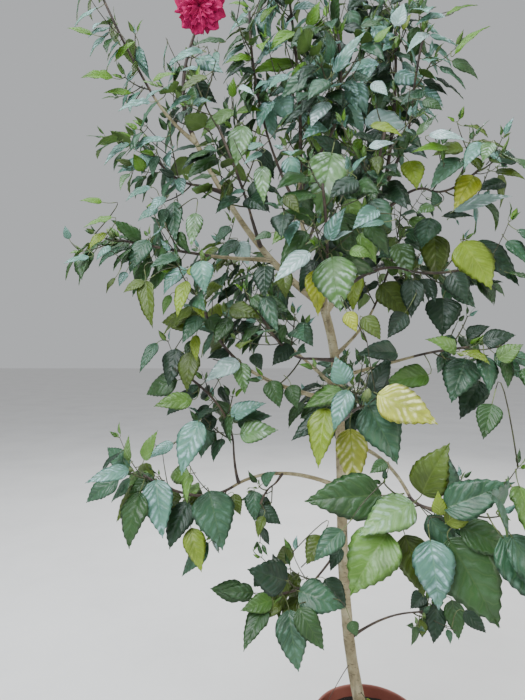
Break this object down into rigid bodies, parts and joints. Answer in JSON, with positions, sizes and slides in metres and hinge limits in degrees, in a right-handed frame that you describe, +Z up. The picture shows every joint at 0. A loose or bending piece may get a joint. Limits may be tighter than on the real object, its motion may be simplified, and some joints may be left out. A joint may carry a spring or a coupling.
{
  "type": "potted hibiscus shrub",
  "caption": "Potted hibiscus shrub: a slender leaning trunk forks into tapering boughs that carry loose masses of broad toothed leaves and a ruffled bloom over a round tapered pot.",
  "frame": {"origin": "centre of the pot's flat underside, where it stands", "axes": "+Z up, -Y towards the side that the picture shows, +X to that side's right"},
  "size_m": [0.9833, 0.8855, 1.9978],
  "materials": {
    "pot": "matte",
    "soil": "matte",
    "bark": "matte",
    "foliage": "satin"
  },
  "bodies": {
    "root": {"pot": "pot", "soil": "soil", "trunk": "bark", "bough_upper_left": "bark", "bough_upper_right": "bark", "bough_center": "bark", "bough_top_left": "bark", "bough_left_upper": "bark", "bough_left": "bark", "bough_middle_left": "bark", "bough_top_middle": "bark", "bough_front_upper": "bark", "bough_back_upper": "bark", "bough_top_right": "bark", "bough_right_upper": "bark", "bough_middle_right": "bark", "bough_right": "bark", "bough_front": "bark", "bough_left_center": "bark", "bough_middle_low": "bark", "bough_right_middle": "bark", "bough_left_low": "bark", "bough_left_riser": "bark", "bough_left_inner": "bark", "bough_lower_left": "bark", "bough_front_middle": "bark", "bough_right_low": "bark", "bough_right_foot": "bark", "bough_back_left": "bark", "bough_back_right": "bark", "bough_back_low": "bark", "leaves_upper_left": "foliage", "leaves_upper_right": "foliage", "leaves_center": "foliage", "leaves_top_left": "foliage", "leaves_left_upper": "foliage", "leaves_left": "foliage", "leaves_middle_left": "foliage", "leaves_top_middle": "foliage", "leaves_front_upper": "foliage", "leaves_back_upper": "foliage", "leaves_top_right": "foliage", "leaves_right_upper": "foliage", "leaves_middle_right": "foliage", "leaves_right": "foliage", "leaves_front": "foliage", "leaves_left_center": "foliage", "leaves_middle_low": "foliage", "leaves_right_middle": "foliage", "leaves_left_low": "foliage", "leaves_left_riser": "foliage", "leaves_left_inner": "foliage", "leaves_lower_left": "foliage", "leaves_front_middle": "foliage", "leaves_right_low": "foliage", "leaves_right_foot": "foliage", "leaves_back_left": "foliage", "leaves_back_right": "foliage", "leaves_back_low": "foliage"}
  },
  "joints": []
}
